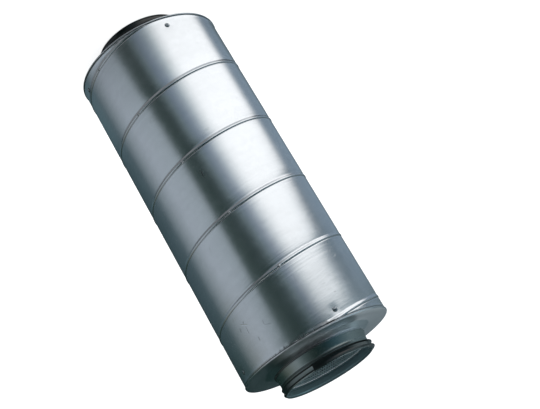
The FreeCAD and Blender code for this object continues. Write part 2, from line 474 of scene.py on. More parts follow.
spigot = {
    "sheet": 0.7 * mm,
    "section": [(81.25, -2), (81.25, 9), (79.25, 21), (79.25, 24.3), (79.75, 25.5), (79.25, 26.7),
                (79.25, 27.8), (78.45, 28.6), (78.45, 36.8), (79.45, 37.8), (79.45, 41)],
    "bends": [6 * mm, 6 * mm] + 7 * [0.6 * mm],
    # darker than the casing's sheet: partly a duller metal, partly painted shade that dims its reflection
    "colour": (0.36, 0.41, 0.40, 1),
    "extraRoughness": 0.02,
    "grain": (9, 9, 260),
    "inner": (79.2 * mm, (0.145, 0.235, 0.255, 1), 0.6),    # the inside, painted darker and duller as shade: radius, colour, how metallic
    "beadAt": 25.5 * mm,        # from the cap's face
    "beadWidth": (2.6 * mm, 1.2 * mm),          # painted shade along the bead, dimming its reflection: none and full
    "beadSide": (-140, -124),
    "beadShade": 0.7,
    "steps": 320,
}


def spigotBeadShade(finish, place, flat):
    away, angle, height = fromAxis(finish, place)
    middle = (ends["upper"][0] + ends["lower"][0]) / 2
    bead = (height - middle).size() - (ends["upper"][0] - middle + spigot["beadAt"])
    # painted shade on one side of the bead, over its reflection
    bead = bead.size().step(*spigot["beadWidth"]) * angle.over(spigot["beadSide"])
    return bead * spigot["beadShade"], 1.0, 0.0


spigotFinish = galvanised("galvanised spigot", spigot["grain"], marks=spigotBeadShade, colour=spigot["colour"],
                          extraRoughness=spigot["extraRoughness"], inner=spigot["inner"])
turnAtBothEnds("Spigot", spigot, spigotFinish, "spigot")
print("spigots made")

# Lip seals: a rubber band with two lips swept back, a little off centre as fitted by hand

seal = {
    "section": [(78.9, 28.7), (78.9, 36.75), (79.9, 37.8), (79.9, 39.8), (80.9, 39.8), (84.7, 38.3),
                (84.7, 37.6), (80.9, 38.5), (80.9, 31.6), (83.8, 30.1), (83.8, 29.4), (80.9, 30.3),
                (80.9, 28.7)],
    "round": 0.18 * mm,
    "band": 80.9 * mm,
    "leanTowards": 180,         # degrees, the side on which the lips stand out most
    "reach": {"upper": (0.45, 1.12), "lower": (0.2, 0.45)},     # least and most of the drawn lips
    "waves": ((0.05, 3, 1), (0.03, 7, 0)),      # more or less reach, how often round, and its start
    "steps": 320,
    "colour": (0.0055, 0.0095, 0.0100, 1),
    "roughness": 0.15,
    "bloomScale": 45,
    "dustScale": (60, 60, 500),
    "shades": (0.5, 0.4),       # of the bloom and of the dust, and their roughness and depth
    "roughs": (0.08, 0.06),
    "depths": (0.01 * mm, 0.003 * mm),
    # stretches of the band painted pale as reflections on it: their sides, and how pale
    "paintedSheen": {"upper": (((-77, -76.5), (-22, -62), 0.26), ((-162, -154), (-120, -144), 0.12)),
               "lower": ()},
    "paleTint": (0.8, 1.02, 1.04),
    "paleRough": 0.3,
    "paleOver": (0.27 * mm, 0.12 * mm),         # out from the band: none and full
}


def rubber(name, stretches):
    finish = newFinish(name)
    place = finish.place()
    away, angle, height = fromAxis(finish, place)
    bloom = finish.uneven(place, seal["bloomScale"], detail=4.0, roughness=0.6)
    dust = finish.uneven(finish.stretch(place, seal["dustScale"]))
    shade, rough, height = [bloom * ofBloom + dust * ofDust
                            for ofBloom, ofDust in (seal["shades"], seal["roughs"], seal["depths"])]
    shade = 1 + shade
    rough = seal["roughness"] + rough
    base = finish.tint(seal["colour"], shade)
    onBand = (away - seal["band"]).step(*seal["paleOver"])
    # pale stretches painted on the band, standing for reflections on it
    for start, stop, pale in stretches:
        share = angle.over(start, stop) * onBand
        colour = (*[pale * part for part in seal["paleTint"]], 1)
        base = finish.blend(share, base, finish.tint(colour, shade))
        rough = rough + share * seal["paleRough"]
    return finish.surface(base, rough, height)


def makeSeal(end):
    piece = drawSection(f"{end}LipSeal", sectionAtEnd(seal["section"], end))
    closeSection()
    selectAll()
    bpy.ops.mesh.bevel(offset=seal["round"], offset_type="OFFSET", segments=2, affect="VERTICES")
    spinSection(piece, seal["steps"])
    places = readPoints(piece)
    radius = np.hypot(places[:, 0], places[:, 1])
    angle = np.arctan2(places[:, 1], places[:, 0]) - math.radians(seal["leanTowards"])
    least, most = seal["reach"][end]
    reach = (most + least) / 2 + (most - least) / 2 * np.cos(angle)
    for more, often, start in seal["waves"]:
        reach = reach + more * np.sin(often * angle + start)
    moved = np.where(radius > seal["band"], seal["band"] + (radius - seal["band"]) * reach, radius)
    places[:, :2] *= (moved / radius)[:, None]
    writePoints(piece, places)
    smooth(piece, sharpAngle=40)
    return piece


for end in ends:
    finish = rubber(f"black rubber {end}", seal["paintedSheen"][end])
    dress(makeSeal(end), finish, "seal_rubber", f"{end}_lip_seal")
print("lip seals made")

# Casing: one strip wound into a tube, each turn locked to the next by a seam that stands proud

casing = {
    "radius": capEdge.x - cap["hem"],
    "sheet": 0.6 * mm,
    "pitch": 120.5 * mm,
    "seamAngle": -69.8,         # degrees, where the seam's middle passes seamHeight
    "seamHeight": 53.5 * mm,
    # mm from the seam's middle, and how far the strip stands out
    "across": [(-60.25, 0.08), (-45, 0.12), (-32, 0.13), (-20, 0.10), (-13, 0.07), (-10, 0.01),
               (-7.5, -0.07), (-5.6, -0.12), (-4.6, -0.12), (-4.0, -0.05), (-3.2, 0.13),
               (-2.2, 0.40), (-1.4, 0.60), (-0.8, 0.70), (-0.2, 0.75), (0.4, 0.75), (0.8, 0.68),
               (1.4, 0.38), (2.0, 0.06), (2.5, -0.20), (2.9, -0.17), (3.5, 0.02), (4.2, 0.05),
               (5.5, 0.02), (8, 0.03), (14, 0.05), (22, 0.08), (34, 0.12), (46, 0.12),
               (60.25, 0.08)],
    "steps": 256,
    "turns": 7,
    "turnsUnder": 2,            # of these start under the part, and what is too long is cut off
    # rings beside the cut edge: mm from it, and how far they stand out
    "edgeRings": [(0, -0.5), (0.5, -0.55), (1.2, -0.3), (1.8, 0.1), (2.6, 0.26), (3.8, 0.16), (6, 0)],
    "waveScale": (2.2, 2.2, 11),
    "waveDepth": 0.09 * mm,
    "waveFade": 20 * mm,        # the waves end this far from the cut edges
    "dents": ((-134, 570 * mm, 45 * mm, 0.35 * mm), (-52, 560 * mm, 40 * mm, 0.2 * mm),
              (-120, 330 * mm, 60 * mm, 0.15 * mm)),        # degrees, height, radius and depth
    "rivetsAtEachEnd": 4,
    "rivetDent": 0.35 * mm,
    "rivetDentRadius": 8 * mm,
    "cuts": 3,                  # in each face beside a rivet or a crimp
    "firstCrimp": -51.4,        # degrees along the seam from its start
    "crimpEvery": 348.7,
    "crimps": 6,
    "crimpAcross": 0.9 * mm,    # from the seam's middle to the crimp's
    "crimpLength": 2.4 * mm,
    "crimpHeight": 1.05 * mm,
}


def seamHeightAt(degrees):
    return casing["seamHeight"] + (degrees - casing["seamAngle"]) / 360 * casing["pitch"]


def rivetPlaces():
    # angle in degrees and height of each CAD rivet
    found = {}
    for end in ends:
        for number in range(1, casing["rivetsAtEachEnd"] + 1):
            low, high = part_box(f"{end}_rivet_{number}")
            middle = (low + high) / 2
            found[end, number] = (math.degrees(math.atan2(middle.y, middle.x)), middle.z)
    return found


def crimpPlaces():
    turns = [casing["firstCrimp"] + casing["crimpEvery"] * number for number in range(casing["crimps"])]
    return [(degrees, seamHeightAt(degrees)) for degrees in turns]


def onCasing(degrees, height):
    angle = math.radians(degrees)
    return Vector((casing["radius"] * math.cos(angle), casing["radius"] * math.sin(angle), height))


def makeCasing():
    start = seamHeightAt(0) - casing["turnsUnder"] * casing["pitch"]
    strip = [(casing["radius"] + out * mm, start + across * mm) for across, out in casing["across"]]
    piece = drawSection("outerCasing", strip)
    endEdit()
    applyModifier(piece, "wound", "SCREW", axis="Z", angle=fullTurn, screw_offset=casing["pitch"],
                  iterations=casing["turns"], steps=casing["steps"], render_steps=casing["steps"],
                  use_merge_vertices=True, merge_threshold=weldDistance)
    startEdit()
    closeUp()
    for edge, way in ((casingLow.z, -1), (casingHigh.z, 1)):
        for inward, out in casing["edgeRings"]:
            selectAll()
            bpy.ops.mesh.bisect(plane_co=(0, 0, edge - way * inward * mm), plane_no=(0, 0, way),
                                clear_outer=inward == 0, use_fill=False, threshold=weldDistance)
    finer = [(place, 2 * casing["rivetDentRadius"]) for place in rivetPlaces().values()]
    finer += [(place, 3 * casing["crimpLength"]) for place in crimpPlaces()]
    for (degrees, height), reach in finer:
        near = onCasing(degrees, height)
        choose(piece, "FACE", lambda place: (place - near).length < reach)
        bpy.ops.mesh.subdivide(number_cuts=casing["cuts"])
    endEdit()
    pressCasing(piece)
    foldEdges(piece)
    smooth(piece)
    unwindStrip(piece)
    return piece


def pressCasing(piece):
    # every point takes the strip's section, its slight waves, the dents and the crimps
    places = readPoints(piece)
    angle = np.degrees(np.arctan2(places[:, 1], places[:, 0]))
    height = places[:, 2]
    turn = np.round((height - seamHeightAt(angle)) / casing["pitch"])
    across = (height - seamHeightAt(angle) - turn * casing["pitch"]) / mm
    section = np.array(casing["across"])
    out = np.interp(across, section[:, 0], section[:, 1]) * mm
    unit = places.copy()
    unit[:, :2] /= np.hypot(places[:, 0], places[:, 1])[:, None]
    inside = soften((height - casingLow.z) / casing["waveFade"])
    inside = inside * soften((casingHigh.z - height) / casing["waveFade"])
    wave = [noise.noise(Vector(point)) for point in unit * np.array(casing["waveScale"])]
    out = out + casing["waveDepth"] * np.array(wave) * inside
    for degrees, middle in rivetPlaces().values():
        gap = np.linalg.norm(places - np.array(onCasing(degrees, middle)), axis=1)
        out = out - casing["rivetDent"] * np.exp(-(gap / casing["rivetDentRadius"]) ** 2)
    for degrees, middle, radius, depth in casing["dents"]:
        gap = np.linalg.norm(places - np.array(onCasing(degrees, middle)), axis=1)
        out = out - depth * np.exp(-(gap / radius) ** 2)
    for degrees, middle in crimpPlaces():
        top = np.array(onCasing(degrees, middle + casing["crimpAcross"]))
        gap = np.linalg.norm(places - top, axis=1)
        out = out + casing["crimpHeight"] * soften(1 - gap / casing["crimpLength"])
    fromEdge = np.minimum(height - casingLow.z, casingHigh.z - height)
    rings = np.array(casing["edgeRings"])
    out = out + np.interp(fromEdge / mm, rings[:, 0], rings[:, 1]) * mm
    places[:, :2] = unit[:, :2] * (casing["radius"] + out)[:, None]
    writePoints(piece, places)


def foldEdges(piece):
    # the cut edges show the sheet's thickness, and a plain wall closes the inside
    inside = casing["radius"] - casing["sheet"]
    startEdit()
    for edge in (casingLow.z, casingHigh.z):
        choose(piece, "VERT", lambda place: abs(place.z - edge) < slack)
        bpy.ops.mesh.select_mode(type="EDGE")
        bpy.ops.mesh.extrude_edges_move()
        shape = bmesh.from_edit_mesh(piece.data)
        for point in shape.verts:
            if point.select:
                point.co.xy = point.co.xy.normalized() * inside
        bmesh.update_edit_mesh(piece.data)
    choose(piece, "VERT", lambda place: place.xy.length < inside + slack)
    bpy.ops.mesh.select_mode(type="EDGE")
    bpy.ops.mesh.bridge_edge_loops()
    selectAll()
    bpy.ops.mesh.normals_make_consistent(inside=False)
    endEdit()


def unwindStrip(piece):
    # the UV map follows the strip in metres: along it in U, across it in V from 0 to the pitch
    mesh = piece.data
    places = readPoints(piece)
    corners = np.empty(len(mesh.loops), int)
    mesh.loops.foreach_get("vertex_index", corners)
    counts = np.empty(len(mesh.polygons), int)
    mesh.polygons.foreach_get("loop_total", counts)
    middles = np.empty(len(mesh.polygons) * 3)
    mesh.polygons.foreach_get("center", middles)
    middles = np.repeat(middles.reshape(-1, 3), counts, axis=0)
    middleAngle = np.degrees(np.arctan2(middles[:, 1], middles[:, 0]))
    corner = places[corners]
    angle = np.degrees(np.arctan2(corner[:, 1], corner[:, 0]))
    angle = middleAngle + (angle - middleAngle + 180) % 360 - 180
    turn = np.floor((middles[:, 2] - seamHeightAt(middleAngle)) / casing["pitch"])
    along = np.radians(angle + 360 * turn) * casing["radius"]
    across = corner[:, 2] - seamHeightAt(angle) - turn * casing["pitch"]
    strip = mesh.uv_layers.new(name="strip")
    strip.data.foreach_set("uv", np.column_stack([along, across]).ravel())


# dirt and wear on the casing, with the shade painted on it
wear = {
    # scuffs: degrees, height, lean from the axis in degrees, long, wide, how dark, how deep
    "scuffs": ((-82.1, 330.5, 6, 14, 2.6, 0.95, 0), (-53, 574, -62, 18, 3, 0, 0.12),
               (-53.4, 584.5, 3, 15, 2.2, 0.37, 0.03), (-53.4, 570, 20, 5, 4, 0.37, 0.02),
               (-47.7, 577, 10, 8, 4, 0.31, 0.02), (-58.6, 606.5, 5, 9, 4, 0.25, 0.02),
               (-67.7, 589.5, 5, 9, 2.2, 0.28, 0.02), (-122.3, 601.6, 0, 2.4, 2.4, 0.56, 0),
               (-140.3, 544, 40, 10, 2, 0, 0.08), (-70, 596, -70, 14, 1.8, 0.2, 0.02),
               (-46, 556, 30, 9, 1.5, 0.15, 0.008), (-62, 548, -15, 6, 1.5, 0.12, 0.01),
               (-118, 583, -75, 9, 1.2, 0.1, 0.015), (-97, 611, -60, 12, 1.3, 0.1, 0.01),
               (-36, 602, 12, 10, 1.4, 0.2, 0.01), (-68, 200, 20, 12, 1.4, 0.12, 0.008),
               (-74, 320, -55, 10, 1.2, 0.1, 0.01), (-59, 442, 8, 11, 1.4, 0.14, 0.008)),
    # dark ticks where the casing's upper edge was rolled on
    "tickScale": (420, 70, 1),
    "tickFrom": (0.44, 0.62),   # the noise's value where a tick starts, and where it is full
    "tickSide": ((-116, -98), (-22, -40)),
    "tickMiddle": -86,          # they reach furthest in there
    "tickSpread": (34, 4),
    "tickReach": (1.5 * mm, 5.4 * mm, 8.1 * mm),    # least, more in patches, and more in the middle
    "tickFade": (1.1, 0.2),
    "tickDark": 0.65,
    "patchScale": (36, 36, 1),
    # grime and painted shade beside the cut edges, where they go under the hems: from and to how far in,
    # and how dark
    "rim": ((1.7 * mm, 1.1 * mm), 0.85),
    # painted shade where the seam runs out under the hem, over the strip's reflection and in its notch: the
    # sides, from and to how far in, and how dark
    "seamEndShade": ((((-107, -105.5), (-90, -99)), (8 * mm, 6 * mm), 0.5),
                 (((-112, -110.5), (-103, -105)), (3 * mm, 2.2 * mm), 0.95)),
    "footAt": 2.0 * mm,         # grime and painted shade in the groove along the seam's foot, from the seam's middle
    "foot": ((1.1 * mm, 0.5 * mm), 0.35),
    "stainScale": (14, 30, 1),
    "stain": ((0.62, 0.78), 0.12),
    # painted shadows round the rivet heads and beside the crimps: how far, and how dark
    "rivetShadow": ((5.2 * mm, 3.6 * mm), 0.6),
    "crimpShadow": ((1.7 * mm, 0.8 * mm), 0.75),
    "crimpShadowAside": 1.1,      # degrees
    "grain": (7, 330, 1),
    "lineGain": 1.5,
    "seamGain": 11,             # the rolling lines are deeper beside the seam
    "seamGainOver": (30 * mm, 5 * mm),
    "rippleScale": (45, 150, 1),
    "rippleDepth": 0.05 * mm,
}


def alongCasing(angle, degrees):
    # how far round the casing a place is from an angle, in metres
    return (angle - degrees) * (casing["radius"] / inDegrees)


def scuffMarks(angle, height):
    # short strokes on the sheet, each with its darkness and its depth
    darkening, dent = 0.0, 0.0
    for degrees, middle, lean, long, wide, dark, deep in wear["scuffs"]:
        sideways = alongCasing(angle, degrees)
        upwards = height - middle * mm
        turn = math.radians(lean)
        along = upwards * math.cos(turn) + sideways * math.sin(turn)
        across = sideways * math.cos(turn) - upwards * math.sin(turn)
        stroke = along.size().step(long / 2 * mm, long / 4 * mm) * across.size().step(wide / 2 * mm, 0.0)
        darkening = stroke * dark + darkening
        dent = stroke * (-deep * mm) + dent
    return darkening, dent


def paintedShadowSpots(angle, height):
    # painted shadow: a dark ring round each rivet's head, and a dark spot on the shaded side of each crimp
    spots = [(degrees, middle, wear["rivetShadow"]) for degrees, middle in rivetPlaces().values()]
    for degrees, middle in crimpPlaces():
        degrees = (degrees + 180) % 360 - 180 + wear["crimpShadowAside"]
        spots.append((degrees, middle + casing["crimpAcross"], wear["crimpShadow"]))
    darkening = 0.0
    for degrees, middle, (size, dark) in spots:
        darkening = alongCasing(angle, degrees).diagonal(height - middle).step(*size) * dark + darkening
    return darkening


def hemMarks(finish, strip, angle, height):
    # ticks where the hem was rolled over the casing's ends, with grime and painted shade beside the cut
    # edges and painted shade where the seam runs out
    ticks = finish.noise(finish.stretch(strip, wear["tickScale"])).step(*wear["tickFrom"])
    patch = finish.noise(finish.stretch(strip, wear["patchScale"]), detail=2.0)
    middle = (angle - wear["tickMiddle"]).size().step(*wear["tickSpread"])
    least, inPatches, inMiddle = wear["tickReach"]
    fromEdge = casingHigh.z - height
    band = (fromEdge / (least + patch * (inPatches + middle * inMiddle))).step(*wear["tickFade"])
    darkening = ticks * band * angle.over(*wear["tickSide"]) * wear["tickDark"]
    # grime and painted shade beside both cut edges
    rimWidth, rimDark = wear["rim"]
    darkening = darkening.highest(fromEdge.lowest(height - casingLow.z).step(*rimWidth) * rimDark)
    # painted shade where the seam runs out under the hem
    for sides, width, dark in wear["seamEndShade"]:
        darkening = darkening.highest(angle.over(*sides) * fromEdge.step(*width) * dark)
    return darkening


def casingMarks(finish, place, strip):
    away, angle, height = fromAxis(finish, place)
    across = finish.add("ShaderNodeSeparateXYZ", None, {0: strip}).output("Y")
    # grime and painted shade in the groove at the seam's foot
    footWidth, footDark = wear["foot"]
    foot = (across - wear["footAt"]).size().step(*footWidth) * footDark
    stainFrom, stainDark = wear["stain"]
    stain = finish.noise(finish.stretch(strip, wear["stainScale"]), detail=5.0, roughness=0.7)
    stain = stain.step(*stainFrom) * stainDark
    fromSeam = across.lowest(casing["pitch"] - across)
    lineGain = wear["lineGain"] + wear["seamGain"] * fromSeam.step(*wear["seamGainOver"])
    darkening, dent = scuffMarks(angle, height)
    # stains, scuffs and the hem's ticks are dirt; the seam's foot and the hem's edges are partly painted
    # shade, the rings and spots painted shadow
    darkening = foot.highest(stain) + darkening + paintedShadowSpots(angle, height)
    darkening = hemMarks(finish, strip, angle, height).highest(darkening)
    ripple = finish.uneven(finish.stretch(strip, wear["rippleScale"]))
    return darkening, lineGain, dent + ripple * wear["rippleDepth"]


casingFinish = galvanised("galvanised casing", wear["grain"], "strip", casingMarks)
casingPiece = makeCasing()
dress(casingPiece, casingFinish, "galvanised_steel", "outer_casing")
print("casing wound:", len(casingPiece.data.polygons), "faces")

# Inner tube: perforated sheet rolled into a tube, its holes cut through where they show

tube = {
    "radius": tubeHigh.x,
    "sheet": 0.6 * mm,
    "hole": 2.4 * mm,
    "holesRound": 112,
    "shownRows": 16,
    "mouthSides": 12,           # of each hole, at the end that the photo shows
    "footSides": 8,
    "colour": (0.62, 0.70, 0.76, 1),
    "extraRoughness": 0.05,
    "grain": (9, 9, 200),
    "inner": (78.03 * mm, (0.34, 0.47, 0.50, 1), 0.5),      # the inside, painted darker and duller as shade, as for the spigots
    "cutWidth": 1.0 * mm,       # a painted highlight along the burr at the cut edge
    "cutHighlight": (0.88, 0.95, 1.0, 1),
    "middleRings": 6,
    "steps": 256,
}
tube["across"] = fullTurn * tube["radius"] / tube["holesRound"]
tube["rowHeight"] = tube["across"] * math.sqrt(3) / 2


def onBorder(eighths):
    # round the border of a square of half width 1
    return max(-1, min(1, abs(eighths % 8 - 4) - 2))


def makePerforated(name, edge, way, sides):
    # one hole in its cell, repeated over a flat sheet from the tube's cut edge, then rolled
    piece = addShape(name, bpy.ops.mesh.primitive_circle_add, vertices=sides, radius=tube["hole"] / 2,
                     rotation=(math.pi / 2, 0, 0))
    startEdit()
    selectAll()
    bpy.ops.mesh.extrude_edges_move()
    shape = bmesh.from_edit_mesh(piece.data)
    for point in shape.verts:
        if point.select:
            eighths = math.atan2(point.co.z, point.co.x) / fullTurn * 8
            point.co.x = onBorder(eighths) * tube["across"] / 2
            point.co.z = onBorder(eighths - 2) * tube["rowHeight"] / 2
    bmesh.update_edit_mesh(piece.data)
    endEdit()
    repeats = ((2, (tube["across"] / 2, 0, -way * tube["rowHeight"])),
               (tube["holesRound"], (tube["across"], 0, 0)),
               (tube["shownRows"] // 2, (0, 0, -way * 2 * tube["rowHeight"])))
    for count, offset in repeats:
        applyModifier(piece, "repeat", "ARRAY", count=count, use_relative_offset=False,
                      use_constant_offset=True, constant_offset_displace=offset)
    places = readPoints(piece)
    angle = places[:, 0] / (tube["holesRound"] * tube["across"]) * fullTurn
    rolled = np.column_stack([np.cos(angle) * tube["radius"], np.sin(angle) * tube["radius"],
                              places[:, 2] + edge])
    writePoints(piece, rolled)
    startEdit()
    selectAll()
    bpy.ops.mesh.remove_doubles(threshold=slack)
    bpy.ops.mesh.bisect(plane_co=(0, 0, edge), plane_no=(0, 0, way), clear_outer=True,
                        use_fill=False, threshold=weldDistance)
    endEdit()
    shape = bmesh.new()
    shape.from_mesh(piece.data)
    for face in shape.faces:
        if face.normal.xy.dot(face.calc_center_median().xy) < 0:
            face.normal_flip()
    shape.to_mesh(piece.data)
    shape.free()
    applyModifier(piece, "wall", "SOLIDIFY", thickness=tube["sheet"], offset=-1)
    smooth(piece, sharpAngle=30)
    return piece


def holesPainted(finish, place, flat):
    # the rows of holes go on down the tube as dark spots
    away, angle, height = fromAxis(finish, place)
    column = angle * (tube["holesRound"] / 360)
    row = (tubeHigh.z - height) / (2 * tube["rowHeight"])
    nearest = None
    for shift in (0.5, 0.0):
        sideways = ((column + shift).fraction() - 0.5) * tube["across"]
        upwards = ((row + shift).fraction() - 0.5) * (2 * tube["rowHeight"])
        gap = sideways.diagonal(upwards)
        nearest = gap if nearest is None else nearest.lowest(gap)
    return nearest.step(tube["hole"] / 2 + fade, tube["hole"] / 2 - fade), 1.0, 0.0


def makeTubeMiddle():
    length = (tube["shownRows"] - 0.5) * tube["rowHeight"]
    inside = tube["radius"] - tube["sheet"]
    low, high = tubeLow.z + length, tubeHigh.z - length
    rings = [low + (high - low) * share / tube["middleRings"] for share in range(tube["middleRings"] + 1)]
    outer = [(tube["radius"], z) for z in rings]
    inner = [(inside, z) for z in reversed(rings)]
    piece = drawSection("airwayTubeMiddle", outer + inner)
    closeSection()
    spinSection(piece, tube["steps"])
    smooth(piece)
    return piece


tubeLook = {"colour": tube["colour"], "extraRoughness": tube["extraRoughness"], "inner": tube["inner"]}
tubeCut = (tubeLow.z + tube["cutWidth"], tubeHigh.z - tube["cutWidth"], tube["cutHighlight"])
endFinish = galvanised("perforated sheet", tube["grain"], cut=tubeCut, **tubeLook)
deepFinish = galvanised("perforated sheet deep", tube["grain"], marks=holesPainted, **tubeLook)
tubeMouth = makePerforated("airwayTubeMouth", tubeHigh.z, 1, tube["mouthSides"])
dress(tubeMouth, endFinish, "perforated_steel", "perforated_tube")
tubeFoot = makePerforated("airwayTubeFoot", tubeLow.z, -1, tube["footSides"])
dress(tubeFoot, endFinish, "perforated_steel", "perforated_tube")
dress(makeTubeMiddle(), deepFinish, "perforated_steel", "perforated_tube")
print("airway tube made")

# Rivets: domed heads with the broken end of the mandrel sunk in the middle

rivet = {
    "head": 3.9 * mm,
    "rise": 1.3 * mm,
    "bore": 1.15 * mm,
    "domeSteps": 6,
    # mm from the rivet's axis, and mm out from the casing
    "shank": [(3.9, 0.1), (3.8, 0), (2.0, 0), (2.0, -1.7), (2.9, -2.0), (2.9, -3.5), (2.3, -3.9),
              (1.15, -3.9)],
    "stub": [(0.02, 0.7), (0.55, 0.82), (1.1, 0.6), (1.1, -3.9), (1.9, -4.1), (1.9, -4.8),
             (1.5, -5.1), (0.02, -5.1)],
    "steps": 40,
    "wearScale": 900,
    "wear": (0.3, 0.2, 0.03 * mm),      # its shade, roughness and depth
    "rimFrom": (0.8, 1.0),              # share of the head's radius where the rim is darker
    "rim": (0.45, 0.15),
}


def rivetMetal(name, colour, roughness):
    finish = newFinish(name)
    wornShade, wornRough, wornDepth = rivet["wear"]
    rimShade, rimRough = rivet["rim"]
    rim = finish.add("ShaderNodeAttribute", {"attribute_name": "fromAxis"}).output("Fac")
    rim = rim.step(*rivet["rimFrom"])
    worn = finish.uneven(finish.place(), rivet["wearScale"], roughness=0.6)
    base = finish.tint(colour, 1 + worn * wornShade - rim * rimShade)
    rough = roughness + worn * wornRough + rim * rimRough
    return finish.surface(base, rough, worn * wornDepth, metallic=1.0)


def spinSmallPart(name, section):
    piece = drawSection(name, section)
    closeSection()
    spinSection(piece, rivet["steps"])
    places = readPoints(piece)
    away = piece.data.attributes.new("fromAxis", "FLOAT", "POINT")
    away.data.foreach_set("value", np.hypot(places[:, 0], places[:, 1]) / rivet["head"])
    smooth(piece, sharpAngle=40)
    return piece


def makeRivet():
    crown = (rivet["head"] ** 2 + rivet["rise"] ** 2) / (2 * rivet["rise"])
    widths = [rivet["bore"] + (rivet["head"] - rivet["bore"]) * share / rivet["domeSteps"]
              for share in range(rivet["domeSteps"] + 1)]
    dome = [(width, rivet["rise"] - crown + math.sqrt(crown ** 2 - width ** 2)) for width in widths]
    return spinSmallPart("rivet", dome[:-1] + [(r * mm, z * mm) for r, z in rivet["shank"]])


def makeMandrel():
    return spinSmallPart("rivetStub", [(r * mm, z * mm) for r, z in rivet["stub"]])


def placeCopy(model, name, degrees, height):
    # a copy with its own mesh, its axis laid on a radius of the casing
    piece = model.copy()
    piece.data = model.data.copy()
    piece.name = name
    piece.data.name = name
    bpy.context.scene.collection.objects.link(piece)
    out = Matrix.Translation((casing["radius"], 0, 0)) @ Matrix.Rotation(math.pi / 2, 4, "Y")
    turn = Matrix.Rotation(math.radians(degrees), 4, "Z")
    piece.data.transform(turn @ Matrix.Translation((0, 0, height)) @ out)
    return piece


rivetFinish = rivetMetal("rivet aluminium", (0.34, 0.38, 0.41, 1), 0.25)
stubFinish = rivetMetal("rivet stub steel", (0.10, 0.10, 0.10, 1), 0.45)
rivetModel = makeRivet()
stubModel = makeMandrel()
for (end, number), (degrees, height) in rivetPlaces().items():
    piece = placeCopy(rivetModel, f"{end}Rivet{number}", degrees, height)
    dress(piece, rivetFinish, "rivet_aluminium", f"{end}_rivet_{number}")
    piece = placeCopy(stubModel, f"{end}RivetStub{number}", degrees, height)
    dress(piece, stubFinish, "mandrel_steel", f"{end}_rivet_mandrel_{number}")
for model in (rivetModel, stubModel):
    bpy.data.objects.remove(model)
print("rivets set")

# Lining and wool keep their CAD shapes and take fibrous finishes

fibres = {
    "flattened": (1, 1, 3),     # they are so many times as fine along the airway
    "tuftShare": 0.12,          # how fine the tufts are, as a share of how fine the fibres are
    "weights": (0.7, 0.3),      # of the fibres and of the tufts in the colour
    "paleFrom": (0.3, 0.7),     # their sum where the colour is dark, and where it is pale
    "roughness": 0.85,
    "fibreRough": 0.2,
}
fibrePieces = {
    "fleece_lining": {"name": "black fleece", "dark": (0.012, 0.012, 0.013, 1),
                      "pale": (0.05, 0.05, 0.052, 1), "size": 1.2 * mm, "depth": 0.2 * mm},
    "wool_mat": {"name": "mineral wool", "dark": (0.24, 0.20, 0.09, 1),
                 "pale": (0.52, 0.46, 0.26, 1), "size": 3 * mm, "depth": 1 * mm},
}


def fibrous(look):
    finish = newFinish(look["name"])
    place = finish.place()
    fibre = finish.noise(finish.stretch(place, fibres["flattened"]), 1 / look["size"],
                         detail=5.0, roughness=0.75)
    tuft = finish.noise(place, fibres["tuftShare"] / look["size"])
    ofFibre, ofTuft = fibres["weights"]
    pale = (fibre * ofFibre + tuft * ofTuft).step(*fibres["paleFrom"])
    base = finish.blend(pale, look["dark"], look["pale"])
    rough = fibres["roughness"] + (fibre - 0.5) * fibres["fibreRough"]
    return finish.surface(base, rough, fibre * look["depth"])


for node, look in fibrePieces.items():
    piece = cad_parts[node]
    piece.data.materials.clear()
    piece.data.materials.append(fibrous(look))
print("lining and wool dressed")

# Studio: a pale floor, soft lamps, and cards round the part that only its reflections see

